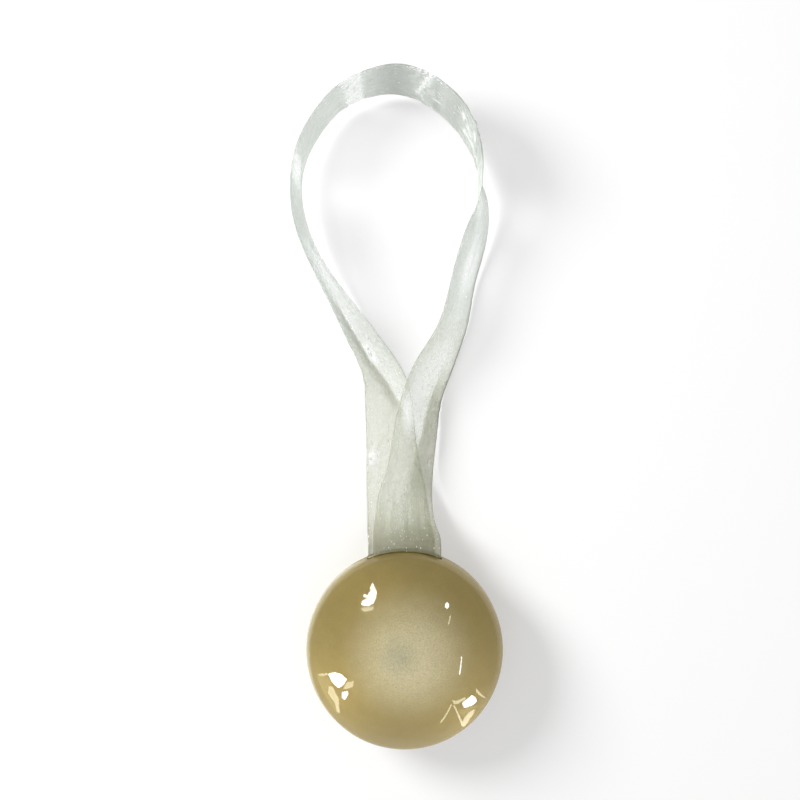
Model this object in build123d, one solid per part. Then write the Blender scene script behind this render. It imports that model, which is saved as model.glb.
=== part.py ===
from build123d import *
import math
import os

# Magnetic curtain tieback: two domed halves that meet on their flat backs, and one ribbon that joins them.
# It lies on a table at z = 0. Z is the clasp's axis, and the ribbon leaves the clasp along +Y.

# Clasp: the two halves are the same part, back to back
bead_diameter = 35.0
rim_height = 2.0  # from the parting face to the foot of the crown
crown_radius = 25.4
shoulder_radius = 3.6
rim_edge_chamfer = 0.15
shell_wall = 1.6
boss_diameter = 6.4  # post under the crown that keeps the magnet down
boss_gap = 0.1

# Back cover of each half
cover_thickness = 0.8
cover_clearance = 0.1  # all round, inside the rim
rim_wall = 1.6  # shell wall beside the cover
ledge_width = 1.0  # step that the cover seats against
tab_inset = 0.15  # the cover's tab stays this far inside the rim's outer face

# Magnet and the collar that centres it
magnet_diameter = 20.0
magnet_thickness = 3.0
magnet_chamfer = 0.3
magnet_clearance = 0.15
collar_wall = 1.0
collar_height = 1.5

# Ribbon
ribbon_width = 12.0
ribbon_thickness = 0.25
ribbon_tuck = 5.0  # length of each end inside the rim
slot_gap = 0.1  # over and under the ribbon in its slot
slot_side_gap = 0.6
exit_run = 0.7  # the ribbon stays flat this far past the rim
rear_exit_shift = -0.5  # sideways, so that the rear strand shows beside the front one
front_exit_shift = 0.5
loop_reach = 84.0  # from the rim to the middle of the ribbon at the far end of the loop
loop_span = 33.9  # across the loop, between the middles of the two strands
table_gap = 0.06

# Middle line of the ribbon between its two exits, from the rear half round the loop to the front half.
# Each row is: across, as a share of loop_span; along from the rim, as a share of loop_reach;
# rise, from 0 standing on the table to 1 at the height of the slot, and over 1 above it; and roll in degrees,
# where 0 is on edge and 90 or -90 is flat with the ribbon's upper edge on the -X side.
REAR_STRAND = [
    (-0.022, 0.035, 0.74, 80),
    (-0.031, 0.071, 0.48, 71),
    (-0.049, 0.148, 0.30, 58),
    (-0.066, 0.233, 0.18, 48),
    (-0.084, 0.324, 0.10, 45),
    (-0.111, 0.371, 0.06, 37),
    (-0.160, 0.416, 0.05, 30),
    (-0.241, 0.470, 0.03, 25),
    (-0.331, 0.525, 0.45, 18),
]
LOOP = [
    (-0.432, 0.590, 1.10, 11),
    (-0.536, 0.691, 1.70, 6),
    (-0.563, 0.763, 1.80, 1),
    (-0.547, 0.831, 1.70, -2),
    (-0.453, 0.912, 1.40, -4),
    (-0.331, 0.965, 1.30, -5),
    (-0.201, 0.989, 1.30, -4),
    (-0.030, 1.000, 1.30, -1),
    (0.126, 0.981, 1.30, 0),
    (0.296, 0.919, 1.40, 1),
    (0.380, 0.842, 1.55, -3),
    (0.400, 0.775, 1.55, -9),
    (0.401, 0.722, 0.90, -18),
]
FRONT_STRAND = [
    (0.326, 0.588, 0.12, -24),
    (0.270, 0.488, 0.05, -27),
    (0.233, 0.451, 0.02, -29),
    (0.183, 0.409, 0.01, -34),
    (0.140, 0.372, 0.02, -37),
    (0.105, 0.333, 0.04, -38),
    (0.057, 0.242, 0.09, -43),
    (0.027, 0.149, 0.23, -48),
    (0.008, 0.096, 0.50, -58),
    (0.009, 0.043, 0.84, -71),
]

# Sizes that follow from those above
bead_radius = bead_diameter / 2
crown_centre = rim_height - math.sqrt(crown_radius**2 - bead_radius**2)
half_height = crown_centre + crown_radius
inner_crown_radius = crown_radius - shell_wall
seat_radius = bead_radius - rim_wall
cavity_radius = seat_radius - ledge_width
boss_radius = boss_diameter / 2
magnet_radius = magnet_diameter / 2
magnet_top = cover_thickness + magnet_thickness
slot_width = ribbon_width + 2 * slot_side_gap
slot_top = cover_thickness + ribbon_thickness + 2 * slot_gap
slot_middle = (cover_thickness + slot_top) / 2
parting_height = half_height


def inner_crown_height(radius):
    """Height of the shell's inner face above the parting face, at a distance from the axis."""
    return crown_centre + math.sqrt(inner_crown_radius**2 - radius**2)


def slot_block(width, bottom, top, near):
    """A block across the ribbon's way out at +Y, from a distance near the axis to past the rim."""
    far = bead_radius + shell_wall
    size = Box(width, far - near, top - bottom)
    return Pos(0, (near + far) / 2, (bottom + top) / 2) * size


def make_shell():
    """Domed cap, turned: a seat for the cover, a post under the crown, and a notch for the ribbon."""
    rim_angle = math.degrees(math.acos(bead_radius / crown_radius))
    cavity_angle = math.degrees(math.acos(cavity_radius / inner_crown_radius))
    boss_angle = math.degrees(math.acos(boss_radius / inner_crown_radius))
    boss_end = magnet_top + boss_gap
    outside = CenterArc((0, crown_centre), crown_radius, rim_angle, 90 - rim_angle)
    inside = CenterArc((0, crown_centre), inner_crown_radius, cavity_angle, boss_angle - cavity_angle)
    rim = Polyline(
        (bead_radius, rim_height),
        (bead_radius, 0),
        (seat_radius, 0),
        (seat_radius, cover_thickness),
        (cavity_radius, cover_thickness),
        (cavity_radius, inner_crown_height(cavity_radius)),
    )
    post = Polyline(
        (boss_radius, inner_crown_height(boss_radius)),
        (boss_radius, boss_end),
        (0, boss_end),
        (0, half_height),
    )
    profile = make_face([outside, rim, inside, post])
    shoulder = profile.vertices().sort_by_distance((bead_radius, rim_height))[0]
    profile = fillet(shoulder, shoulder_radius)
    lower_edge = profile.vertices().sort_by_distance((bead_radius, 0))[0]
    profile = chamfer(lower_edge, rim_edge_chamfer)
    shell = revolve(Plane.XZ * profile, Axis.Z)
    return shell - slot_block(slot_width, 0, slot_top, magnet_radius)


def make_cover():
    """Back cover: a disc with a collar round the magnet, and a tab that closes the notch."""
    floor = (Align.CENTER, Align.CENTER, Align.MIN)
    disc = Cylinder(seat_radius - cover_clearance, cover_thickness, align=floor)
    collar_inside = magnet_radius + magnet_clearance
    collar = Cylinder(collar_inside + collar_wall, collar_height, align=floor)
    collar -= Cylinder(collar_inside, collar_height, align=floor)
    tab = Cylinder(bead_radius - tab_inset, cover_thickness, align=floor)
    tab &= slot_block(slot_width - 2 * cover_clearance, 0, cover_thickness, magnet_radius)
    return disc + tab + Pos(0, 0, cover_thickness) * collar


def make_magnet():
    """Disc magnet with broken edges, seated on the cover."""
    floor = (Align.CENTER, Align.CENTER, Align.MIN)
    disc = Cylinder(magnet_radius, magnet_thickness, align=floor)
    return Pos(0, 0, cover_thickness) * chamfer(disc.edges(), magnet_chamfer)


def ribbon_stations():
    """The ribbon's stations as (middle point, roll in degrees), end to end."""
    rear_height = parting_height - slot_middle
    front_height = parting_height + slot_middle
    inner_end = bead_radius - ribbon_tuck
    outer_end = bead_radius + exit_run
    rear = [(Vector(rear_exit_shift, y, rear_height), 90) for y in (inner_end, bead_radius, outer_end)]
    front = [(Vector(front_exit_shift, y, front_height), -90) for y in (outer_end, bead_radius, inner_end)]
    middle = []
    strands = [(rear_height, REAR_STRAND), (rear_height, LOOP), (front_height, FRONT_STRAND)]
    for slot_height, rows in strands:
        for across, along, rise, roll in rows:
            standing = table_gap + ribbon_width / 2 * math.cos(math.radians(roll))
            height = standing + rise * (slot_height - standing)
            point = Vector(across * loop_span, bead_radius + along * loop_reach, height)
            middle.append((point, roll))
    return rear + middle + front


def make_ribbon():
    """One flat band: a smooth line through every station for each long edge, with faces between."""
    stations = ribbon_stations()
    middle = Spline(*[point for point, _ in stations], tangents=[(0, 1, 0), (0, -1, 0)])
    up = Vector(0, 0, 1)
    corners = [[], [], [], []]
    for point, roll in stations:
        tangent = middle.tangent_at(point)
        side = up.cross(tangent).normalized()
        upright = tangent.cross(side)
        turn = math.radians(roll)
        across = (upright * math.cos(turn) + side * math.sin(turn)) * (ribbon_width / 2)
        through = across.cross(tangent).normalized() * (ribbon_thickness / 2)
        corners[0].append(point + across + through)
        corners[1].append(point - across + through)
        corners[2].append(point - across - through)
        corners[3].append(point + across - through)
    edges = [Spline(*row, tangents=[(0, 1, 0), (0, -1, 0)]) for row in corners]
    faces = [Face.make_surface_from_curves(edges[i - 1], edges[i]) for i in range(4)]
    for end in (0, -1):
        faces.append(make_face(Polyline(*[row[end] for row in corners], close=True)).face())
    print("ribbon length", round(middle.length, 1))
    return Solid(Shell(faces))


def make_parts():
    """Every piece of the tieback in its place, by name."""
    half = {"shell": make_shell(), "cover": make_cover(), "magnet": make_magnet()}
    to_parting_face = Pos(0, 0, parting_height)
    parts = {}
    for name, piece in half.items():
        parts["front_" + name] = to_parting_face * piece
        parts["rear_" + name] = to_parting_face * mirror(piece, about=Plane.XY)
    parts["ribbon"] = make_ribbon()
    return parts


os.makedirs("parts", exist_ok=True)
for part_name, solid in make_parts().items():
    export_step(solid, f"parts/{part_name}.step")
    print(part_name, round(solid.volume, 1), solid.bounding_box().min, solid.bounding_box().max)
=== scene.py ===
# %% [markdown]
# A magnetic curtain tieback
#
# The tieback has two pearly domes with a magnet in each, and one sheer ribbon that joins them in a
# loop. It lies on a white table with its front dome up, and the camera looks straight down at it.
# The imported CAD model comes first, as a fixed frame. Each piece made here stands where a CAD solid
# stands.

# %% The frame
import math

import bmesh
import bpy
import numpy as np
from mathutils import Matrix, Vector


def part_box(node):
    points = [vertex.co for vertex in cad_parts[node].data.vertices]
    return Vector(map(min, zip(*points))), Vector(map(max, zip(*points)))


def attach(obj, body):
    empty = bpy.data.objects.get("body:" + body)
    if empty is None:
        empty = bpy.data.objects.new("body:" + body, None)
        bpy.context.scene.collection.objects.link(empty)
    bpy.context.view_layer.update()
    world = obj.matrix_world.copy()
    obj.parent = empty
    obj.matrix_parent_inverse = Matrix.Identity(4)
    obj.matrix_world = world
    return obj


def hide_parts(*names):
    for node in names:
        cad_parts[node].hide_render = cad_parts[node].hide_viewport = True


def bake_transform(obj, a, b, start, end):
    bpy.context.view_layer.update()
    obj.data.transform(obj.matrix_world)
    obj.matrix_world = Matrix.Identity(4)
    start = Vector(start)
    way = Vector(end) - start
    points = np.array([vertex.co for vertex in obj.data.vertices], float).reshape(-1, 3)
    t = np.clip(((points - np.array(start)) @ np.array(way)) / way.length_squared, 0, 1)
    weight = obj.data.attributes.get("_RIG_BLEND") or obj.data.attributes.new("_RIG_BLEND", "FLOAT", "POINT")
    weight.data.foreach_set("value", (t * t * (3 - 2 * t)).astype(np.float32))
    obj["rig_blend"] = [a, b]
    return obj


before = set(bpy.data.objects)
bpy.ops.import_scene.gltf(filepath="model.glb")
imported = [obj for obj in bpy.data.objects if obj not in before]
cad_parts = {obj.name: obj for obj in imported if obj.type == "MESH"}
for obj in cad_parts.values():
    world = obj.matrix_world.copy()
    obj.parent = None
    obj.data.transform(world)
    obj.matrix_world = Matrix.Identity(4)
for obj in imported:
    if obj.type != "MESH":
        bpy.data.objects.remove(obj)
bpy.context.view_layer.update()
MM = 0.001
scene = bpy.context.scene
scene.view_settings.view_transform = "Standard"
print("CAD nodes:", sorted(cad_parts))

# %% [markdown]
# The camera
#
# The picture was taken from close above, so the far wall of the ribbon's loop shows its inner face.
# A long lens would hide that face. The place and the lens here are the ones that show the ribbon's
# edges where the picture has them. The camera looks straight down, with +Y up the picture.

# %% The camera
PICTURE_PIXELS = 800
FOCAL_PIXELS = 672.0
SENSOR_WIDTH = 36.0
CAMERA_PLACE = np.array([-0.79, 44.27, 129.0]) * MM

camera_data = bpy.data.cameras.new("camera")
camera_data.sensor_width = SENSOR_WIDTH
camera_data.lens = SENSOR_WIDTH * FOCAL_PIXELS / PICTURE_PIXELS
camera_data.clip_start = 5 * MM
camera = bpy.data.objects.new("camera", camera_data)
camera.location = CAMERA_PLACE
scene.collection.objects.link(camera)
scene.camera = camera
print("lens", round(camera_data.lens, 2), "mm")

# %% [markdown]
# Meshes from grids of points
#
# Every new piece is a grid of points worked out by numpy. One function joins the grid into quads,
# and one puts points and faces into a mesh. A third closes a turned shape: it merges doubles, which
# closes poles and seams, and then makes the normals point outwards.

# %% Grid meshes
WELD = 0.002 * MM


def grid_quads(rows, columns, ring=False):
    """Quads between each row of points and the next; with ring, the last column joins the first."""
    last = columns if ring else columns - 1
    row, column = np.meshgrid(np.arange(rows - 1), np.arange(last), indexing="ij")
    after = (column + 1) % columns
    corners = [row * columns + column, row * columns + after]
    corners += [(row + 1) * columns + after, (row + 1) * columns + column]
    return np.stack(corners, -1).reshape(-1, 4)


def new_piece(name, points, faces):
    """A smooth-shaded mesh object at the origin, from points and the point numbers of each face."""
    mesh = bpy.data.meshes.new(name)
    mesh.from_pydata(points.reshape(-1, 3).tolist(), [], faces.tolist())
    mesh.shade_smooth()
    piece = bpy.data.objects.new(name, mesh)
    scene.collection.objects.link(piece)
    return piece


def close_mesh(mesh, sharp_degrees):
    """Merges coincident points, turns the faces of the closed shape outwards, and keeps edges crisp
    that are sharper than sharp_degrees."""
    work = bmesh.new()
    work.from_mesh(mesh)
    bmesh.ops.remove_doubles(work, verts=work.verts, dist=WELD)
    bmesh.ops.recalc_face_normals(work, faces=work.faces)
    work.to_mesh(mesh)
    work.free()
    mesh.shade_smooth()
    mesh.set_sharp_from_angle(angle=math.radians(sharp_degrees))


# %% [markdown]
# The two domes
#
# Each dome is a moulded cap: a shallow crown, a rounded shoulder and a thin rim, hollow inside, with
# a seat for the back cover and a post over the magnet. Such a part is round about an axis, so its
# half section is carried round the Z axis. At +Y a notch lets the ribbon out. In the notch no point
# may be lower than the notch's roof, which needs no cutting tool and leaves clean quads.

# %% Section of a dome
front_low, front_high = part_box("front_shell")
BEAD_RADIUS = front_high.x
PARTING = front_low.z
HALF_HEIGHT = front_high.z - front_low.z
RIM_HEIGHT = 2.0 * MM
SHOULDER_RADIUS = 3.6 * MM
EDGE_CHAMFER = 0.15 * MM
SHELL_WALL = 1.6 * MM
SEAT_RADIUS = BEAD_RADIUS - 1.6 * MM
CAVITY_RADIUS = SEAT_RADIUS - 1.0 * MM
COVER_THICKNESS = 0.8 * MM
POST_RADIUS = 3.2 * MM
POST_END = 3.9 * MM  # just over the magnet
NOTCH_WIDTH = 13.2 * MM
NOTCH_ROOF = 1.25 * MM

crown_rise = HALF_HEIGHT - RIM_HEIGHT
CROWN_RADIUS = (BEAD_RADIUS**2 + crown_rise**2) / (2 * crown_rise)
CROWN_CENTRE = HALF_HEIGHT - CROWN_RADIUS  # height over the parting face
print("crown radius", round(CROWN_RADIUS / MM, 2), "mm")


def arc(centre, radius, start, end, count):
    """Points on an arc: the centre plus the radius times the cosine and the sine of even angles."""
    angle = np.radians(np.linspace(start, end, count))
    return np.stack([centre[0] + radius * np.cos(angle), centre[1] + radius * np.sin(angle)], 1)


def straight(start, end, count):
    """Even points from start to end: one less the share of start plus the share of end."""
    share = np.linspace(0, 1, count)[:, None]
    return np.array(start) * (1 - share) + np.array(end) * share


def dome_section():
    """Half section as (distance from the axis, height), from the crown's top round to the post's end.

    The shoulder's circle touches the crown's from inside and the rim, so its centre is one shoulder
    radius in from the rim and a crown radius less a shoulder radius from the crown's centre."""
    shoulder_out = BEAD_RADIUS - SHOULDER_RADIUS
    shoulder_rise = math.sqrt((CROWN_RADIUS - SHOULDER_RADIUS) ** 2 - shoulder_out**2)
    shoulder = (shoulder_out, CROWN_CENTRE + shoulder_rise)
    lean = math.degrees(math.atan2(shoulder_rise, shoulder_out))
    inner_radius = CROWN_RADIUS - SHELL_WALL
    cavity_angle = math.degrees(math.acos(CAVITY_RADIUS / inner_radius))
    post_angle = math.degrees(math.acos(POST_RADIUS / inner_radius))
    inside = arc((0, CROWN_CENTRE), inner_radius, cavity_angle, post_angle, 24)
    runs = [
        arc((0, CROWN_CENTRE), CROWN_RADIUS, 90, lean, 72),
        arc(shoulder, SHOULDER_RADIUS, lean, 0, 20),
        straight((BEAD_RADIUS, shoulder[1]), (BEAD_RADIUS, EDGE_CHAMFER), 3),
        straight((BEAD_RADIUS, EDGE_CHAMFER), (BEAD_RADIUS - EDGE_CHAMFER, 0), 3),
        straight((BEAD_RADIUS - EDGE_CHAMFER, 0), (SEAT_RADIUS, 0), 4),
        straight((SEAT_RADIUS, 0), (SEAT_RADIUS, COVER_THICKNESS), 4),
        straight((SEAT_RADIUS, COVER_THICKNESS), (CAVITY_RADIUS, COVER_THICKNESS), 3),
        straight((CAVITY_RADIUS, COVER_THICKNESS), inside[0], 3),
        inside,
        straight(inside[-1], (POST_RADIUS, POST_END), 3),
        straight((POST_RADIUS, POST_END), (0, POST_END), 3),
    ]
    return np.concatenate([runs[0]] + [run[1:] for run in runs[1:]])


# %% Turning the domes
WALL_COLUMNS = 241
NOTCH_COLUMNS = 25
DOME_SHARP_DEGREES = 35


def turned_dome(name, facing):
    """Carries the section round the axis: x is the distance times the sine of the angle, and y is
    the distance times its cosine.

    The notch has straight sides, so the angle where it starts is the arcsine of half its width over
    the distance. The columns at its two sides are doubled: one keeps the wall, and one is lifted to
    the roof."""
    section = dome_section()
    distance, height = section[:, :1], section[:, 1:]
    edge = np.arcsin(NOTCH_WIDTH / 2 / np.maximum(distance, CAVITY_RADIUS))
    wall = edge + (2 * np.pi - 2 * edge) * np.linspace(0, 1, WALL_COLUMNS)
    notch = edge * np.linspace(-1, 1, NOTCH_COLUMNS)
    angle = np.concatenate([wall, notch], 1)
    roof = np.repeat([0.0, NOTCH_ROOF], [WALL_COLUMNS, NOTCH_COLUMNS])
    height = np.maximum(height, roof)
    points = [distance * np.sin(angle), distance * np.cos(angle), PARTING + facing * height]
    dome = new_piece(name, np.stack(points, -1), grid_quads(*angle.shape, ring=True))
    close_mesh(dome.data, DOME_SHARP_DEGREES)
    return dome


front_dome = turned_dome("front_dome", 1)
rear_dome = turned_dome("rear_dome", -1)
for dome, half in ((front_dome, "front"), (rear_dome, "rear")):
    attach(dome, half + "_half")
    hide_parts(half + "_shell")
    print(dome.name, len(dome.data.polygons), "faces")

# %% [markdown]
# Building finishes from nodes
#
# A finish is a tree of shader nodes. The helpers here add one node a line, and link an input that is
# another node's output. Grain, the fine unevenness that every real surface has, is in more than one
# finish, so it is a node group with its own inputs and is placed in each of them.

# %% Node helpers


def set_input(tree, socket, value):
    """Links a socket to a value that is a node's output, and sets any other value on it."""
    if isinstance(value, bpy.types.NodeSocket):
        tree.links.new(value, socket)
    else:
        socket.default_value = value


def node(tree, kind, inputs=None, **settings):
    """Adds a shader node with its settings, and sets or links its inputs."""
    made = tree.nodes.new("ShaderNode" + kind)
    for name, value in settings.items():
        setattr(made, name, value)
    for name, value in (inputs or {}).items():
        set_input(tree, made.inputs[name], value)
    return made


def sums(tree, operation, first, second=0.0, third=0.0):
    """The output of a Math node."""
    return node(tree, "Math", {0: first, 1: second, 2: third}, operation=operation).outputs[0]


def times(tree, vector, factors):
    """A vector with each of its parts multiplied by its own factor."""
    return node(tree, "VectorMath", {0: vector, 1: factors}, operation="MULTIPLY").outputs[0]


def ramp(tree, value, low, high, start=0.0, end=1.0):
    """A smooth step of value from start, at low, to end, at high."""
    inputs = {"Value": value, "From Min": low, "From Max": high, "To Min": start, "To Max": end}
    return node(tree, "MapRange", inputs, interpolation_type="SMOOTHSTEP").outputs[0]


def tint(tree, share, first, second):
    """A colour between first and second."""
    return node(tree, "Mix", {0: share, 6: first, 7: second}, data_type="RGBA").outputs[2]


def bump(tree, height, depth):
    """A Normal from a height, at a depth in metres."""
    return node(tree, "Bump", {"Height": height, "Distance": depth, "Strength": 1.0}).outputs[0]


def new_finish(name):
    """A material, its tree and its Principled shader."""
    finish = bpy.data.materials.new(name)
    finish.use_nodes = True
    return finish, finish.node_tree, finish.node_tree.nodes["Principled BSDF"]


def set_shader(tree, shader, **inputs):
    """Sets or links inputs of a shader, with _ in a name for a space."""
    for name, value in inputs.items():
        set_input(tree, shader.inputs[name.replace("_", " ")], value)


# %% Grain group
GRAIN_DETAIL = 3.0
GRAIN_LOW, GRAIN_HIGH = 0.3, 0.7  # between which most of the noise lies

grain_group = bpy.data.node_groups.new("fine_grain", "ShaderNodeTree")
for name, kind in (("Vector", "Vector"), ("Size", "Float"), ("Low", "Float"), ("High", "Float")):
    grain_group.interface.new_socket(name, in_out="INPUT", socket_type="NodeSocket" + kind)
for name in ("Value", "Height"):
    grain_group.interface.new_socket(name, in_out="OUTPUT", socket_type="NodeSocketFloat")
given = grain_group.nodes.new("NodeGroupInput").outputs
grain_out = grain_group.nodes.new("NodeGroupOutput")
grain_scale = sums(grain_group, "DIVIDE", 1.0, given["Size"])
noise_inputs = {"Vector": given["Vector"], "Scale": grain_scale, "Detail": GRAIN_DETAIL}
grain_noise = node(grain_group, "TexNoise", noise_inputs).outputs["Fac"]
grain_value = ramp(grain_group, grain_noise, GRAIN_LOW, GRAIN_HIGH, given["Low"], given["High"])
grain_group.links.new(grain_value, grain_out.inputs["Value"])
grain_group.links.new(grain_noise, grain_out.inputs["Height"])
print(grain_group.name, len(grain_group.nodes), "nodes")


def grain(tree, vector, size, low=0.0, high=1.0):
    """Places the grain group: Value runs from low to high, and Height is for a bump."""
    inputs = {"Vector": vector, "Size": size, "Low": low, "High": high}
    made = node(tree, "Group", node_tree=grain_group)
    for name, value in inputs.items():
        set_input(tree, made.inputs[name], value)
    return made.outputs


# %% [markdown]
# Champagne pearl
#
# The domes are resin with fine pearl flake in it under a clear gloss. Flake mirrors light broadly in
# its own colour, so most of the base is metallic and quite rough, and the clear coat on top is sharp
# and white. Round the top of the crown a paler ring is painted into the pearl's colour. It is a painted
# highlight of the lustre under the overhead light, with a small grey heart, and both are a little off
# the axis. The grain of the flake is strongest in that painted ring.

# %% Pearl finish
FLAKE_SIZE = 0.22 * MM
FLAKE_DEPTH = 0.005 * MM
CLOUD_SIZE = 6.0 * MM
# Centres of the painted lustre highlight and of the small grey heart
LUSTRE_AT = (0.9 * MM, 1.5 * MM, 0)
HEART_AT = (-1.1 * MM, 1.6 * MM, 0)
GOLD = (0.365, 0.278, 0.078, 1)
CLOUDED_GOLD = (0.385, 0.292, 0.082, 1)
PAINTED_LUSTRE_GOLD = (0.62, 0.55, 0.325, 1)
HEART_GREY = (0.41, 0.39, 0.25, 1)

pearl, tree, shader = new_finish("champagne_pearl")
place = node(tree, "TexCoord").outputs["Object"]
level = times(tree, place, (1, 1, 0))


def level_distance(spot):
    """The distance from a spot, seen along the axis."""
    return node(tree, "VectorMath", {0: level, 1: spot}, operation="DISTANCE").outputs["Value"]


from_lustre = level_distance(LUSTRE_AT)
from_heart = level_distance(HEART_AT)
clouds = grain(tree, place, CLOUD_SIZE)["Value"]
flake = grain(tree, place, FLAKE_SIZE)
gold = tint(tree, clouds, GOLD, CLOUDED_GOLD)
# Painted highlight: a paler ring where the pearl's lustre catches the overhead light
pale = tint(tree, ramp(tree, from_lustre, 2.0 * MM, 13.0 * MM, 1.0, 0.0), gold, PAINTED_LUSTRE_GOLD)
heart = tint(tree, ramp(tree, from_heart, 0.0, 4.5 * MM, 0.6, 0.0), pale, HEART_GREY)
swing = ramp(tree, from_lustre, 3.0 * MM, 12.0 * MM, 0.24, 0.08)
flicker = sums(tree, "MULTIPLY_ADD", sums(tree, "SUBTRACT", flake["Value"], 0.5), swing, 1.0)
glint = node(tree, "VectorMath", {0: heart, "Scale": flicker}, operation="SCALE").outputs[0]
set_shader(
    tree,
    shader,
    Base_Color=glint,
    Metallic=0.88,
    Roughness=grain(tree, place, 2.0 * MM, 0.64, 0.70)["Value"],
    Normal=bump(tree, flake["Height"], FLAKE_DEPTH),
    Coat_Weight=0.6,
    Coat_Roughness=0.03,
    Coat_IOR=2.0,
)
for dome in (front_dome, rear_dome):
    dome.data.materials.append(pearl)
print(pearl.name, len(tree.nodes), "nodes")

# %% [markdown]
# Covers and magnets
#
# The back covers are plain moulded plastic near the pearl's colour with a fine spark texture, and
# the magnets are discs with bright nickel plate. Their CAD shapes are right as they are, so only
# their finish changes. The backs of the covers show when the clasp is pulled apart.

# %% Cover finish
SPARK_SIZE = 0.35 * MM
SPARK_DEPTH = 0.03 * MM
PATCH_SIZE = 5.0 * MM
COVER_DARK, COVER_LIGHT = (0.50, 0.41, 0.215, 1), (0.55, 0.46, 0.25, 1)
COVER_SPARK = (0.66, 0.58, 0.37, 1)

moulded, tree, shader = new_finish("moulded_back")
place = node(tree, "TexCoord").outputs["Object"]
spark = grain(tree, place, SPARK_SIZE)
tone = tint(tree, grain(tree, place, PATCH_SIZE)["Value"], COVER_DARK, COVER_LIGHT)
set_shader(
    tree,
    shader,
    Base_Color=tint(tree, ramp(tree, spark["Value"], 0.4, 1.0, 0.0, 0.2), tone, COVER_SPARK),
    Roughness=grain(tree, place, 0.8 * MM, 0.42, 0.56)["Value"],
    Normal=bump(tree, spark["Height"], SPARK_DEPTH),
)
print(moulded.name, len(tree.nodes), "nodes")

# %% Magnet finish
NICKEL_DARK, NICKEL_LIGHT = (0.60, 0.58, 0.54, 1), (0.68, 0.66, 0.62, 1)

nickel, tree, shader = new_finish("nickel_plate")
place = node(tree, "TexCoord").outputs["Object"]
lathe = times(tree, place, (1, 1, 12))
stain = grain(tree, lathe, 1.5 * MM)["Value"]
set_shader(
    tree,
    shader,
    Base_Color=tint(tree, stain, NICKEL_DARK, NICKEL_LIGHT),
    Metallic=1.0,
    Roughness=grain(tree, lathe, 0.5 * MM, 0.16, 0.30)["Value"],
)
print(nickel.name, len(tree.nodes), "nodes")


def refinish(name, finish):
    """Gives a CAD node one finish all over."""
    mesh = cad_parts[name].data
    mesh.materials.clear()
    mesh.materials.append(finish)


for half in ("front", "rear"):
    refinish(half + "_cover", moulded)
    refinish(half + "_magnet", nickel)

# %% [markdown]
# The ribbon's way round
#
# One ribbon leaves the rear half flat, rolls up on its edge, goes round the loop, and comes back over
# itself to the front half. Its middle line passes through the stations of the CAD model. A station
# gives a place and how far the ribbon is rolled: 0 is on edge, and 90 or -90 is flat. A cubic spline
# through the stations, whose curvature changes evenly from each to the next, gives a smooth line and
# a smooth roll.

# %% Stations
RIBBON_WIDTH = 12.0 * MM
RIBBON_TUCK = 5.0 * MM
EXIT_RUN = 0.7 * MM
REAR_SHIFT, FRONT_SHIFT = -0.5 * MM, 0.5 * MM
SLOT_MIDDLE = 1.025 * MM
LOOP_REACH = 84.0 * MM
LOOP_SPAN = 33.9 * MM
TABLE_GAP = 0.06 * MM

# Each row: across as a share of the span, along as a share of the reach, rise from table to slot, roll
REAR_STRAND = [
    (-0.022, 0.035, 0.74, 80),
    (-0.031, 0.071, 0.48, 71),
    (-0.049, 0.148, 0.30, 58),
    (-0.066, 0.233, 0.18, 48),
    (-0.084, 0.324, 0.10, 45),
    (-0.111, 0.371, 0.06, 37),
    (-0.160, 0.416, 0.05, 30),
    (-0.241, 0.470, 0.03, 25),
    (-0.331, 0.525, 0.45, 18),
]
LOOP = [
    (-0.432, 0.590, 1.10, 11),
    (-0.536, 0.691, 1.70, 6),
    (-0.563, 0.763, 1.80, 1),
    (-0.547, 0.831, 1.70, -2),
    (-0.453, 0.912, 1.40, -4),
    (-0.331, 0.965, 1.30, -5),
    (-0.201, 0.989, 1.30, -4),
    (-0.030, 1.000, 1.30, -1),
    (0.126, 0.981, 1.30, 0),
    (0.296, 0.919, 1.40, 1),
    (0.380, 0.842, 1.55, -3),
    (0.400, 0.775, 1.55, -9),
    (0.401, 0.722, 0.90, -18),
]
FRONT_STRAND = [
    (0.326, 0.588, 0.12, -24),
    (0.270, 0.488, 0.05, -27),
    (0.233, 0.451, 0.02, -29),
    (0.183, 0.409, 0.01, -34),
    (0.140, 0.372, 0.02, -37),
    (0.105, 0.333, 0.04, -38),
    (0.057, 0.242, 0.09, -43),
    (0.027, 0.149, 0.23, -48),
    (0.008, 0.096, 0.50, -58),
    (0.009, 0.043, 0.84, -71),
]


def strand_rows(rows, slot_height):
    """Stations as x, y, z and roll. A ribbon stands half its width times the cosine of its roll high,
    and rise lifts it from there to the slot."""
    across, along, rise, roll = np.array(rows, float).T
    standing = TABLE_GAP + RIBBON_WIDTH / 2 * np.cos(np.radians(roll))
    height = standing + rise * (slot_height - standing)
    return np.stack([across * LOOP_SPAN, BEAD_RADIUS + along * LOOP_REACH, height, roll], 1)


def exit_rows(shift, slot_height, roll, order):
    """The flat stations in a slot and just past it."""
    along = [BEAD_RADIUS - RIBBON_TUCK, BEAD_RADIUS, BEAD_RADIUS + EXIT_RUN][::order]
    return np.array([(shift, y, slot_height, roll) for y in along])


rear_slot, front_slot = PARTING - SLOT_MIDDLE, PARTING + SLOT_MIDDLE
stations = np.concatenate([
    exit_rows(REAR_SHIFT, rear_slot, 90, 1),
    strand_rows(REAR_STRAND + LOOP, rear_slot),
    strand_rows(FRONT_STRAND, front_slot),
    exit_rows(FRONT_SHIFT, front_slot, -90, -1),
])
print(len(stations), "stations")

# %% Spline


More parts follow.
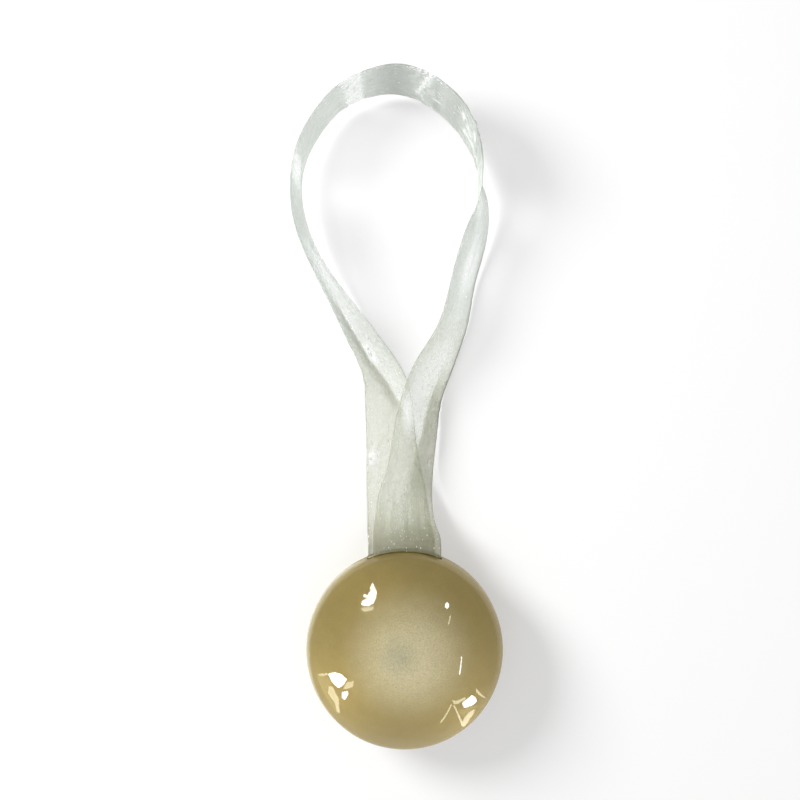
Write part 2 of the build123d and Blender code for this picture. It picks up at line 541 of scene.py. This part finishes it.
def even_spline(knots, values, at):
    """A cubic through each value at its knot. Its second derivative is linear between knots and zero
    at the ends, and one set of linear equations makes the slopes meet at every knot."""
    gap = np.diff(knots)
    inner = np.arange(1, len(knots) - 1)
    equations = np.zeros((len(knots), len(knots)))
    equations[0, 0] = equations[-1, -1] = 1
    equations[inner, inner - 1] = gap[:-1]
    equations[inner, inner] = 2 * (gap[:-1] + gap[1:])
    equations[inner, inner + 1] = gap[1:]
    known = np.zeros_like(values)
    known[1:-1] = 6 * np.diff(np.diff(values, axis=0) / gap[:, None], axis=0)
    bend = np.linalg.solve(equations, known)
    span = np.clip(np.searchsorted(knots, at) - 1, 0, len(gap) - 1)
    width = gap[span][:, None]
    before, after = (at - knots[span])[:, None], (knots[span + 1] - at)[:, None]
    cubic = (bend[span] * after**3 + bend[span + 1] * before**3) / (6 * width)
    first = (values[span] / width - bend[span] * width / 6) * after
    second = (values[span + 1] / width - bend[span + 1] * width / 6) * before
    return cubic + first + second


def unit(vectors):
    """Vectors of length one: each over the root of the sum of its squares."""
    return vectors / np.linalg.norm(vectors, axis=-1, keepdims=True)


def distances(line):
    """The length along a row of points, from the first to each of them."""
    return np.concatenate([[0], np.cumsum(np.linalg.norm(np.diff(line, axis=0), axis=1))])


# %% [markdown]
# The ribbon's surface
#
# At each point of the line the ribbon reaches half its width to either side, in a direction that the
# roll turns from upright to level. Two parameters give every point: u along the ribbon and v across
# it, both in millimetres, so that folds and marks can be placed as if the ribbon lay flat on a bench.

# %% Middle line and cross direction
ALONG_COUNT = 860
ACROSS_COUNT = 41

knots = distances(stations[:, :3])
line = even_spline(knots, stations, np.linspace(0, knots[-1], ALONG_COUNT))
middle, roll = line[:, :3], np.radians(line[:, 3:])
forward = unit(np.gradient(middle, axis=0))
side = unit(np.cross([0, 0, 1], forward))
upright = np.cross(forward, side)
across = upright * np.cos(roll) + side * np.sin(roll)
outward = np.cross(across, forward)
run = distances(middle)
RIBBON_LENGTH = run[-1]
u = run[:, None] / MM
v = np.linspace(-0.5, 0.5, ACROSS_COUNT)[None, :] * RIBBON_WIDTH / MM
print("ribbon length", round(RIBBON_LENGTH / MM, 1), "mm")

# %% [markdown]
# Folds
#
# A sheer ribbon is stiff and holds every fold it gets. This one is cupped a little across, and more
# at its waist. It has a long slanting fold on each strand near the crossing, a sharp zigzag crease at
# the top of the loop, crushed places, and small gathers where the clasp grips it. Each is a height
# over the smooth surface, in millimetres, and their sum moves the points along the surface's normal.
# Cloth simulation would lose the creases, which are finer than its mesh.

# %% Curves for folds and marks
END = RIBBON_LENGTH / MM
HALF_WIDTH = RIBBON_WIDTH / MM / 2
RIM_AT = RIBBON_TUCK / MM
from_rim = np.minimum(u, END - u) - RIM_AT
draw = np.random.default_rng(7)


def near(value, centre, reach):
    """A bell curve: e to the power of minus the squared distance from the centre, in reaches."""
    return np.exp(-(((value - centre) / reach) ** 2))


def ease(value, low, high):
    """A smooth step from 0 at low to 1 at high: three squares of the share less two cubes of it."""
    share = np.clip((value - low) / (high - low), 0, 1)
    return share * share * (3 - 2 * share)


def stretch(low, start, end, high):
    """One from start to end along the ribbon, with a smooth step down to nought at low and at high."""
    return ease(u, low, start) * (1 - ease(u, end, high))


def ridge(distance, width):
    """A sharp ridge: e to the power of minus the distance from its line, in widths."""
    return np.exp(-np.abs(distance) / width)


def bands(rows):
    """The sum of a bell curve along the ribbon for each row of place, reach and amount."""
    return sum(amount * near(u, at, reach) for at, reach, amount in rows)


def waves(count, shortest, longest, slant):
    """A sum of plane waves with drawn lengths, headings and phases, about one high. slant turns their
    crests from straight across the ribbon."""
    length = draw.uniform(shortest, longest, count)
    heading = draw.normal(0, slant, count)
    phase = draw.uniform(0, 2 * np.pi, count)
    total = np.zeros(np.broadcast(u, v).shape)
    for wave in range(count):
        distance = u * np.cos(heading[wave]) + v * np.sin(heading[wave])
        total += np.sin(2 * np.pi * distance / length[wave] + phase[wave])
    return total / math.sqrt(count)


# %% Cup, sway, crumple and gathers
CUP_DEPTH, WAIST_CUP = 0.1, 0.65
WAIST_AT, WAIST_REACH = 131.5, 6.0
SWAY_HEIGHT, CRUMPLE_HEIGHT, GATHER_HEIGHT = 0.09, 0.07, 0.09
GATHER_REACH = 10.0
WIDE_PLEAT, FINE_PLEAT = 2.3, 1.37
CRUSHED_ALL_OVER = 0.12
CRUSHED_BANDS = [
    (23.5, 4.0, 0.5),
    (44.0, 6.0, 0.6),
    (96.1, 3.0, 1.0),
    (109.6, 3.0, 1.0),
    (122.5, 5.5, 1.0),
    (176.0, 6.0, 0.5),
]

cup = (CUP_DEPTH + WAIST_CUP * near(u, WAIST_AT, WAIST_REACH)) * ((v / HALF_WIDTH) ** 2 - 1 / 3)
sway = SWAY_HEIGHT * waves(6, 14.0, 30.0, 0.5)
crumple = CRUMPLE_HEIGHT * (bands(CRUSHED_BANDS) + CRUSHED_ALL_OVER) * waves(14, 1.1, 3.4, 0.9)
pleat_phase = 0.35 * np.sin(u / 3.1)
wide_pleats = np.sin(2 * np.pi * v / WIDE_PLEAT + pleat_phase)
fine_pleats = np.sin(2 * np.pi * v / FINE_PLEAT - 2 * pleat_phase)
pleats = wide_pleats + 0.6 * fine_pleats
gather = GATHER_HEIGHT * ridge(np.maximum(from_rim, 0), GATHER_REACH) * pleats
print("gathers up to", round(np.abs(gather).max(), 2), "mm")

# %% Slanting folds and zigzag crease
REAR_FOLD_HEIGHT, FRONT_FOLD_HEIGHT, CREASE_HEIGHT = 0.5, 1.0, 0.22
REAR_FOLD_WIDTH, FRONT_FOLD_WIDTH, CREASE_WIDTH = 2.5, 2.2, 0.6

# A side is the distance across the ribbon from a fold's line, which slants along the ribbon
rear_line = 1.6 - 0.48 * np.maximum(41.0 - u, 0)
rear_side = v - rear_line
rear_here = stretch(28, 34, 50, 59)
rear_fold = REAR_FOLD_HEIGHT * ridge(rear_side, REAR_FOLD_WIDTH) * rear_here
front_line = -1.6 + 0.1 * (u - 168.5)
front_side = v - front_line
front_here = stretch(161.5, 168, 177, 184)
front_fold = FRONT_FOLD_HEIGHT * ridge(front_side, FRONT_FOLD_WIDTH) * front_here
# The crease leans one way over most of the width and the other way near the lower edge
zigzag = 108.2 + 0.27 * np.maximum(v + 3, 0) + 0.9 * np.maximum(-3 - v, 0) + 0.2 * np.sin(3 * v)
crease = CREASE_HEIGHT * ridge(u - zigzag, CREASE_WIDTH) * near(v, 0.6, 6.0)
print("zigzag from", round(zigzag.min(), 1), "to", round(zigzag.max(), 1), "mm along")

# %% Folded surface
CLOTH_THICKNESS = 0.2 * MM
free = ease(from_rim, 0.5, 5)  # the clasp holds the ends flat
height = free * (cup + sway + crumple + gather + rear_fold + front_fold + crease)
points = middle[:, None] + across[:, None] * (v * MM)[..., None]
points = points + outward[:, None] * (height * MM)[..., None]
points[..., 2] = np.maximum(points[..., 2], CLOTH_THICKNESS / 2)  # none of it goes under the table
print("folds from", round(height.min(), 2), "to", round(height.max(), 2), "mm")

# %% [markdown]
# The ribbon's mesh
#
# The grid becomes a mesh with a UV map in shares of the ribbon's length and width, for the weave.
# Four attributes hold marks for the finish. The first is where the cloth is thin and the table shows
# through, and it also holds painted light on one side of the rear fold, painted sheen and a painted
# highlight along the crease. Then come painted glints, crinkled places strewn with small painted
# glints, and painted shade, where the cloth is darker. Marks are sums of bell curves and smooth steps
# in u and v, so they sit on the cloth.

# %% Ribbon mesh
ribbon = new_piece("sheer_ribbon", points, grid_quads(ALONG_COUNT, ACROSS_COUNT))
mesh = ribbon.data
corner_points = np.zeros(len(mesh.loops), np.int32)
mesh.loops.foreach_get("vertex_index", corner_points)
flat_u = np.broadcast_to(u / END, height.shape).ravel()
flat_v = np.broadcast_to(v / (2 * HALF_WIDTH) + 0.5, height.shape).ravel()
uv_layer = mesh.uv_layers.new(name="ribbon_uv")
uv_values = np.stack([flat_u[corner_points], flat_v[corner_points]], 1).astype(np.float32)
uv_layer.uv.foreach_set("vector", uv_values.ravel())
print(ribbon.name, len(mesh.polygons), "faces")

# %% Places on the ribbon
# Each place: along, across, reach along, reach across, and how much
# Open cloth where the table shows through, and paler painted glints and sheen where the cloth catches the light
THIN_AND_SHEEN_PLACES = [
    (22.9, 4.9, 1.5, 1.2, 0.9),
    (29.5, -4.8, 3.5, 1.8, 0.9),
    (42.5, 0.5, 1.9, 1.1, 0.8),
    (49.0, 1.2, 1.6, 0.5, 0.8),
    (54.5, 2.4, 1.6, 0.5, 0.8),
    (60.0, -1.0, 7.0, 6.0, 0.8),
    (77.6, 0.8, 3.2, 6.0, 1.0),
    (122.5, 0.0, 5.0, 2.0, 0.2),
    (134.0, 0.0, 3.5, 6.0, 0.6),
    (144.5, -1.6, 6.0, 3.0, 0.75),
    (153.0, -0.5, 12.0, 5.0, 0.35),
    (163.5, -1.0, 5.0, 4.0, 0.35),
    (173.5, 2.4, 6.5, 3.2, 1.0),
    (186.0, 2.5, 8.0, 3.5, 0.6),
]
# Painted glints and sheen: whiter, denser patches where crinkles catch the light
GLINT_PLACES = [
    (112.4, -1.6, 1.0, 0.4, 0.8),
    (119.1, 2.6, 0.5, 1.1, 1.0),
    (119.9, -2.0, 0.5, 0.7, 1.0),
    (120.9, 1.2, 0.5, 0.8, 0.8),
    (121.1, -1.6, 0.6, 0.5, 0.9),
    (122.4, -1.5, 1.0, 0.6, 1.0),
    (123.5, 3.0, 0.7, 0.8, 0.9),
    (126.5, -1.0, 1.2, 0.7, 0.9),
    (144.5, -1.8, 5.0, 1.0, 0.5),
]
# Crinkled places, strewn with small flecks that are painted glints
CRINKLE_GLINT_PLACES = [
    (22.9, 4.9, 1.3, 1.0, 0.3),
    (42.5, 0.6, 1.7, 0.7, 1.0),
    (48.8, 1.2, 1.4, 0.5, 1.2),
    (54.0, 2.4, 3.0, 0.9, 0.6),
    (60.8, 0.4, 2.2, 0.7, 1.0),
    (77.6, 1.0, 2.5, 3.0, 0.4),
    (94.8, 2.5, 1.2, 4.0, 0.8),
    (97.5, 0.0, 1.5, 5.0, 0.4),
    (109.5, 5.6, 4.0, 0.7, 1.0),
    (112.5, 0.5, 1.5, 2.0, 0.5),
    (118.7, 2.6, 2.0, 1.2, 0.8),
    (121.4, 0.6, 2.0, 1.2, 0.9),
    (124.0, -1.2, 2.0, 1.2, 0.8),
    (127.0, -1.2, 2.0, 1.2, 0.7),
    (163.0, -0.6, 7.0, 4.0, 0.4),
    (175.5, 1.4, 3.5, 1.8, 0.4),
    (182.7, -4.6, 0.9, 0.3, 1.4),
    (191.0, 1.0, 5.0, 2.5, 0.45),
]
# Painted shade across the top of the loop, whose inner face is turned from the light
# Each band: along, reach along, and how much
SHADE_BANDS = [
    (104.5, 4.5, 0.65),
    (112.0, 1.5, 0.45),
    (116.5, 3.5, 0.75),
    (122.5, 4.0, 0.45),
    (126.6, 3.0, 0.85),
]

# %% Marks on the ribbon


def at_places(places):
    """The sum of a bell curve along times a bell curve across for each place."""
    total = np.zeros(height.shape)
    for at, off, reach, width, amount in places:
        total += amount * near(u, at, reach) * near(v, off, width)
    return total


# Painted light on the side of the rear fold that is turned up to the light
lit_rear_side = 0.42 * ease(-rear_side, -0.2, 0.5) * rear_here
# Painted sheen on a panel near the top of the loop
sheen_panel = 0.65 * ease(u + 0.12 * v, 93.8, 94.8) * (1 - ease(u, 97.6, 99.4))
# A row of paler, more open spots along the upper edge by the crease
scallops = ease(v, 4.9, 5.3) * ease(np.sin(2 * np.pi * u / 1.3), 0.0, 0.5) * near(u, 109.0, 3.0)
# Painted highlight along the zigzag crease
crease_highlight = near(u, zigzag, 0.4)

# Painted shade on fold sides turned from the light, where the ribbon goes into the clasp, and along the front
# strand's lower edge
shaded_rear_side = 0.55 * near(rear_side, 1.2, 1.6) * (rear_side > 0) * rear_here
shaded_front_side = 0.5 * ease(-front_side, 0.0, 0.8) * stretch(165, 173, 184, 194)
shade_at_clasp = near(np.maximum(from_rim, 0), 0, 5.5)
shaded_edge = 1.2 * ease(-v, 5.4, 5.8) * stretch(138, 144, 170, 178)
shaded_sides = shaded_rear_side + shaded_front_side + shade_at_clasp + shaded_edge

MARKS = {
    "thin_cloth_and_sheen": at_places(THIN_AND_SHEEN_PLACES) + lit_rear_side + sheen_panel + scallops + crease_highlight,
    "painted_glints": at_places(GLINT_PLACES),
    "crinkle_glints": at_places(CRINKLE_GLINT_PLACES),
    "painted_shade": bands(SHADE_BANDS) + shaded_sides,
}
for name, marks in MARKS.items():
    attribute = mesh.attributes.new(name, "FLOAT", "POINT")
    attribute.data.foreach_set("value", np.clip(marks, 0, 1).astype(np.float32).ravel())
    print(name, "mean", round(float(np.clip(marks, 0, 1).mean()), 3))

# %% [markdown]
# The ribbon's thickness and how it moves
#
# Solidify gives the cloth its thickness. When the clasp is pulled apart, it follows the rear half at
# one end and the front half at the other, and the share grows smoothly along its length.

# %% Thickness and following the halves
HELD_RUN = 3.0  # past the rim, in millimetres, that moves with its half

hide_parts("ribbon")
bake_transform(ribbon, "rear_half", "front_half", start=tuple(middle[0]), end=tuple(middle[-1] + [0, 0, 1 * MM]))
follow = ease(u, RIM_AT + HELD_RUN, END - RIM_AT - HELD_RUN)
follow = np.broadcast_to(follow, height.shape).astype(np.float32)
mesh.attributes["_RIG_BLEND"].data.foreach_set("value", follow.ravel())
thicken = ribbon.modifiers.new("cloth", "SOLIDIFY")
thicken.thickness = CLOTH_THICKNESS
thicken.offset = 0
print("share of the front half from", follow.min(), "to", follow.max())

# %% [markdown]
# Sheer ribbon
#
# The ribbon is a very open weave of clear, shiny threads, so the table shows through it, and two
# layers look darker than one. Seen along its face, more threads stand one behind the other and less
# shows through, which a Layer Weight node gives. Its two edges have a denser woven selvedge. The weave
# runs along the UV map. The threads are pale and slightly green round the loop, and more yellow near
# the clasp, which near the domes is a painted reflection of their gold. Then the marks come in: thin
# cloth and painted sheen show more of the table and are paler, painted glints and glint flecks are
# whiter, and painted shade is darker and less clear.

# %% Weave, selvedge and marks
sheer, tree, shader = new_finish("sheer_ribbon")
uv = node(tree, "UVMap", uv_map="ribbon_uv").outputs[0]
bench = times(tree, uv, (END, 2 * HALF_WIDTH, 0))  # millimetres along and across
parts = node(tree, "SeparateXYZ", {0: bench}).outputs
warp = grain(tree, times(tree, bench, (0.2, 1.0, 1)), 0.6)
weft = grain(tree, times(tree, bench, (1.0, 0.15, 1)), 0.5)
mottle = grain(tree, bench, 4.0)["Value"]
from_middle = sums(tree, "ABSOLUTE", sums(tree, "SUBTRACT", parts["Y"], HALF_WIDTH))
selvedge = ramp(tree, from_middle, HALF_WIDTH - 0.45, HALF_WIDTH - 0.2)
thin_and_sheen, glint_mask, crinkle_glint_mask, shade_mask = [
    node(tree, "Attribute", attribute_name=name).outputs["Fac"] for name in MARKS
]
# Painted glint flecks, strewn most where the cloth is crinkled
glint_fleck_inputs = {"Vector": times(tree, bench, (0.45, 1.5, 1)), "Scale": 3.0, "Detail": 1.0}
glint_fleck = node(tree, "TexNoise", glint_fleck_inputs).outputs["Fac"]
glint_fleck = ramp(tree, sums(tree, "MULTIPLY_ADD", crinkle_glint_mask, 0.22, glint_fleck), 0.69, 0.75)
from_top = sums(tree, "ABSOLUTE", sums(tree, "SUBTRACT", parts["X"], END / 2))
near_clasp = ramp(tree, from_top, 40.0, 75.0)
print("marks read:", ", ".join(MARKS))

# %% Thread colour
LOOP_DARK, LOOP_LIGHT = (0.69, 0.75, 0.69, 1), (0.77, 0.825, 0.765, 1)
# Near the domes the yellower tone is a painted reflection of their gold
CLASP_DARK, CLASP_LIGHT = (0.68, 0.71, 0.50, 1), (0.75, 0.775, 0.57, 1)
# Tones of painted shade, round the loop and by the clasp
LOOP_SHADE, CLASP_SHADE = (0.38, 0.41, 0.37, 1), (0.20, 0.19, 0.09, 1)
WARP_TONE = (0.90, 0.93, 0.87, 1)
# Paler tone of thin cloth and of painted sheen
THIN_AND_SHEEN_TONE = (0.84, 0.99, 0.88, 1)
SELVEDGE_TONE = (0.42, 0.44, 0.39, 1)
# Tone of painted glints
GLINT_TONE = (0.95, 0.985, 0.945, 1)
# Tone of painted glint flecks
GLINT_FLECK_TONE = (0.98, 0.99, 0.97, 1)

loop_tone = tint(tree, mottle, LOOP_DARK, LOOP_LIGHT)
clasp_tone = tint(tree, mottle, CLASP_DARK, CLASP_LIGHT)
# More yellow towards the clasp: painted reflection of the gold domes
thread = tint(tree, near_clasp, loop_tone, clasp_tone)
thread = tint(tree, ramp(tree, warp["Value"], 0.2, 1.0, 0.0, 0.2), thread, WARP_TONE)
# Painted shade
shade_tone = tint(tree, near_clasp, LOOP_SHADE, CLASP_SHADE)
thread = tint(tree, sums(tree, "MULTIPLY", shade_mask, 0.85), thread, shade_tone)
# Thin cloth and painted sheen are paler
thread = tint(tree, sums(tree, "MULTIPLY", thin_and_sheen, 0.6), thread, THIN_AND_SHEEN_TONE)
thread = tint(tree, sums(tree, "MULTIPLY", selvedge, 0.25), thread, SELVEDGE_TONE)
# Painted glints
thread = tint(tree, glint_mask, thread, GLINT_TONE)
# Painted glint flecks
thread = tint(tree, glint_fleck, thread, GLINT_FLECK_TONE)
print("thread colour from", len(tree.nodes), "nodes")

# %% Cover and shader
OPEN_COVER = 0.16  # of one face of the cloth, seen square on
EDGE_ON_COVER = 0.8  # added where it is seen along its face
THIN_COVER = 0.18  # what is left of the cover in the thinnest places
# Painted shade also makes the cloth less clear
MORE_COVER = [(warp["Value"], 0.04), (weft["Value"], 0.05), (shade_mask, 0.2), (selvedge, 0.15)]
# Painted glints and glint flecks make the cloth less clear
WHITE_COVER = [(glint_mask, 0.45), (glint_fleck, 0.6)]

facing = node(tree, "LayerWeight", {"Blend": 0.5}).outputs["Facing"]
edge_on = sums(tree, "MULTIPLY", facing, facing)
cover = sums(tree, "MULTIPLY_ADD", edge_on, EDGE_ON_COVER, OPEN_COVER)
for mask, amount in MORE_COVER:
    cover = sums(tree, "MULTIPLY_ADD", mask, amount, cover)
# Thin cloth and painted sheen let more of the table show through
cover = sums(tree, "MULTIPLY", cover, ramp(tree, thin_and_sheen, 0.0, 1.0, 1.0, THIN_COVER))
for mask, amount in WHITE_COVER:
    cover = sums(tree, "MULTIPLY_ADD", mask, amount, cover)
set_shader(
    tree,
    shader,
    Base_Color=thread,
    Alpha=cover,
    Roughness=grain(tree, bench, 1.2, 0.30, 0.42)["Value"],
    Normal=bump(tree, warp["Height"], 0.03 * MM),
    Subsurface_Weight=0.7,
    Subsurface_Radius=(1, 1, 1),
    Subsurface_Scale=0.6 * MM,
    Sheen_Weight=0.15,
    Sheen_Roughness=0.4,
)
mesh.materials.append(sheer)
print(sheer.name, len(tree.nodes), "nodes")

# %% [markdown]
# Table and light
#
# The table is a plain white sheet. To the camera, in gloss and through glass it glows a little as
# well, so that it is as white as paper, and it still takes shadows. The room gives even, soft light
# that is brighter overhead. It also has a bright side, past the picture's lower edge, which only gloss
# sees. The main lamp stands near, at the upper left, and is wide, so shadows fall to the lower right
# with soft edges. A lamp so near would light its own side of the table much more than the far side, so
# its light is made not to fade with distance.

# %% Table
TABLE_HALF = 1.5
TABLE_GREY = (0.66, 0.66, 0.66, 1)
TABLE_GLOW = 0.31

corners = np.array([[-1, -1, 0], [1, -1, 0], [1, 1, 0], [-1, 1, 0]]) * TABLE_HALF
table = new_piece("table", corners, np.array([[0, 1, 2, 3]]))
white, tree, shader = new_finish("white_table")
sight = node(tree, "LightPath").outputs
seen = sums(tree, "MAXIMUM", sight["Is Camera Ray"], sight["Is Glossy Ray"])
seen = sums(tree, "MAXIMUM", seen, sight["Is Transmission Ray"])
set_shader(
    tree,
    shader,
    Base_Color=TABLE_GREY,
    Roughness=0.9,
    Specular_IOR_Level=0.0,
    Emission_Color=(1, 1, 1, 1),
    Emission_Strength=sums(tree, "MULTIPLY", seen, TABLE_GLOW),
)
table.data.materials.append(white)
print("table", 2 * TABLE_HALF, "m wide")

# %% Room light
ROOM_LOW = 0.42
ROOM_SIDE = 0.34
ROOM_OVERHEAD = 0.38
LIT_SIDE = (-0.1, -0.99, 0.0)
OVERHEAD = (0.0, -0.13, 0.99)

world = bpy.data.worlds.new("room")
scene.world = world
world.use_nodes = True
tree = world.node_tree
heading = node(tree, "TexCoord").outputs["Generated"]


def towards(direction):
    """The cosine of the angle between the way a ray goes and a direction."""
    inputs = {0: heading, 1: direction}
    return node(tree, "VectorMath", inputs, operation="DOT_PRODUCT").outputs["Value"]


in_gloss = node(tree, "LightPath").outputs["Is Glossy Ray"]
side_light = ramp(tree, towards(LIT_SIDE), -0.4, 0.9, 0.0, ROOM_SIDE)
light = sums(tree, "ADD", ROOM_LOW, sums(tree, "MULTIPLY", side_light, in_gloss))
light = sums(tree, "ADD", light, ramp(tree, towards(OVERHEAD), 0.5, 1.0, 0.0, ROOM_OVERHEAD))
set_shader(tree, tree.nodes["Background"], Strength=light, Color=(1, 1, 1, 1))
print(world.name, len(tree.nodes), "nodes")

# %% Main light
MAIN_PLACE = (-0.13, 0.105, 0.115)
MAIN_ENERGY = 36.0
MAIN_RADIUS = 0.038

main_data = bpy.data.lights.new("main_light", "POINT")
main_data.energy = MAIN_ENERGY
main_data.shadow_soft_size = MAIN_RADIUS
main_data.use_nodes = True
tree = main_data.node_tree
even = node(tree, "LightFalloff", {"Strength": 1.0}).outputs["Constant"]
set_shader(tree, tree.nodes["Emission"], Strength=even)
main = bpy.data.objects.new("main_light", main_data)
scene.collection.objects.link(main)
main.location = MAIN_PLACE
main.visible_glossy = False
print("main light at", MAIN_PLACE)

# %% [markdown]
# Catch-lights
#
# The gloss on the dome mirrors the lamps and the bright panes round the room. A catch-light on a
# curved gloss is hard to aim by hand. So each outline is written where the picture shows it, in
# pixels, and is sent out through the camera, off the crown and on to a card in the room. One more
# card lies just over the table at the left and gives the rim there its pale sheen. Gloss alone sees
# the cards.

# %% Cards and their light
CARD_DISTANCE = 0.5
SHARE_OF_WAY_DOWN = 0.8  # a card for a ray that goes down stands this far on its way to the table
LEAST_FALL = 0.001
CROWN_MIDDLE = np.array([0, 0, PARTING + CROWN_CENTRE])


def mirrored(pixels):
    """Places on a card for pixels of the front dome. A ray from the camera meets the crown's sphere
    at the nearer root of a square equation, and leaves along the ray less twice its share of the
    normal. The card stands nearer than CARD_DISTANCE where it would go under the table."""
    spot = np.array(pixels, float)
    centre = PICTURE_PIXELS / 2
    depth = np.full(len(spot), -FOCAL_PIXELS)
    ray = unit(np.stack([spot[:, 0] - centre, centre - spot[:, 1], depth], 1))
    away = CAMERA_PLACE - CROWN_MIDDLE
    along = ray @ away
    reach = -along - np.sqrt(along**2 - away @ away + CROWN_RADIUS**2)
    hit = CAMERA_PLACE + ray * reach[:, None]
    normal = (hit - CROWN_MIDDLE) / CROWN_RADIUS
    leaving = ray - 2 * (ray * normal).sum(1, keepdims=True) * normal
    over_table = SHARE_OF_WAY_DOWN * hit[:, 2] / np.maximum(-leaving[:, 2], LEAST_FALL)
    return hit + leaving * min(CARD_DISTANCE, over_table.min())


def glow(name, strength, colour):
    """A plain light of one strength."""
    finish, tree, shader = new_finish(name)
    tree.nodes.remove(shader)
    emission = node(tree, "Emission", {"Color": colour, "Strength": strength})
    tree.links.new(emission.outputs[0], tree.nodes["Material Output"].inputs[0])
    return finish


def gloss_card(name, places, finish):
    """A flat card that only gloss sees, with one face through all its places."""
    card = new_piece(name, places, np.arange(len(places))[None, :])
    card.data.materials.append(finish)
    card.visible_camera = card.visible_diffuse = False
    card.visible_shadow = card.visible_transmission = False
    print(name, "lowest corner", round(places[:, 2].min(), 3), "m")


# %% Catch-light outlines
WINDOW = glow("window_white", 15.0, (1, 1, 1, 1))
WARM = glow("pane_warm", 6.0, (1, 0.95, 0.74, 1))
FAINT = glow("pane_faint", 1.8, (1, 0.95, 0.72, 1))

CATCH_LIGHTS = [
    ("main_pane", WINDOW, [
        (373, 583), (375, 588), (377, 592), (376, 598), (374, 603), (369, 606),
        (363, 606), (361, 604), (362, 601), (367, 598), (363, 597), (364, 594),
        (368, 595), (369, 592), (371, 591), (370, 588), (372, 584),
    ]),
    ("main_sill", WARM, [(360, 608), (374, 606), (373, 610), (364, 612)]),
    ("far_pane", WINDOW, [
        (447, 602), (449, 604), (449, 607), (447, 609), (445, 607), (445, 604),
    ]),
    ("far_streak", WARM, [(450, 615), (451, 616), (449, 625), (448, 624)]),
    ("side_slit", WINDOW, [(461, 656), (462, 657), (460, 675), (459, 674)]),
    ("left_pane", WINDOW, [
        (328, 674), (335, 672), (341, 674), (347, 679),
        (345, 683), (341, 687), (338, 688), (332, 682),
    ]),
    ("left_lower_pane", WINDOW, [(342, 692), (348, 691), (348, 695), (345, 700), (342, 698)]),
    ("left_stripe", WARM, [
        (329, 686), (333, 687), (339, 699), (340, 713), (337, 712), (335, 703), (328, 693),
    ]),
    ("left_top", WARM, [(318, 674), (327, 673), (328, 675), (319, 677)]),
    ("left_haze", FAINT, [
        (316, 674), (328, 677), (332, 683), (329, 686),
        (328, 693), (335, 703), (337, 713), (326, 697),
    ]),
    ("left_wing", WARM, [(347, 682), (354, 681), (353, 687), (347, 689), (343, 689)]),
    ("right_pane", WINDOW, [
        (462, 703), (467, 699), (472, 695), (475, 697), (477, 701), (473, 705), (464, 708),
    ]),
    ("right_wing", WARM, [
        (452, 700), (456, 701), (465, 697), (466, 699), (461, 702), (458, 704), (454, 704),
    ]),
    ("right_arm", WARM, [
        (476, 688), (478, 690), (480, 693), (486, 698), (484, 698), (479, 695), (476, 692),
    ]),
    ("right_fan", WARM, [
        (464, 728), (461, 725), (464, 718), (469, 712),
        (475, 709), (474, 713), (469, 720), (466, 727),
    ]),
    ("right_pole", WARM, [(453, 705), (455, 706), (463, 723), (461, 724)]),
    ("right_line", WARM, [(451, 704), (452, 705), (441, 723), (440, 722)]),
    ("right_arc", FAINT, [
        (449, 692), (458, 689), (467, 688), (467, 689), (458, 690), (449, 693),
    ]),
    ("right_haze", FAINT, [
        (463, 709), (473, 706), (481, 705), (475, 708), (468, 712), (464, 717), (458, 711),
    ]),
]
for name, finish, outline in CATCH_LIGHTS:
    gloss_card(name, mirrored(outline), finish)

# %% Card over the table for the left rim
SHEEN_LEFT, SHEEN_RIGHT = -60 * MM, -11 * MM
SHEEN_HALF = 25 * MM
SHEEN_HEIGHT = 0.8 * MM
SHEEN = glow("left_sheen", 2.1, (0.92, 0.96, 1, 1))

sheen_corners = np.array([
    (SHEEN_LEFT, -SHEEN_HALF, SHEEN_HEIGHT),
    (SHEEN_RIGHT, -SHEEN_HALF, SHEEN_HEIGHT),
    (SHEEN_RIGHT, SHEEN_HALF, SHEEN_HEIGHT),
    (SHEEN_LEFT, SHEEN_HALF, SHEEN_HEIGHT),
])
gloss_card("sheen_card", sheen_corners, SHEEN)
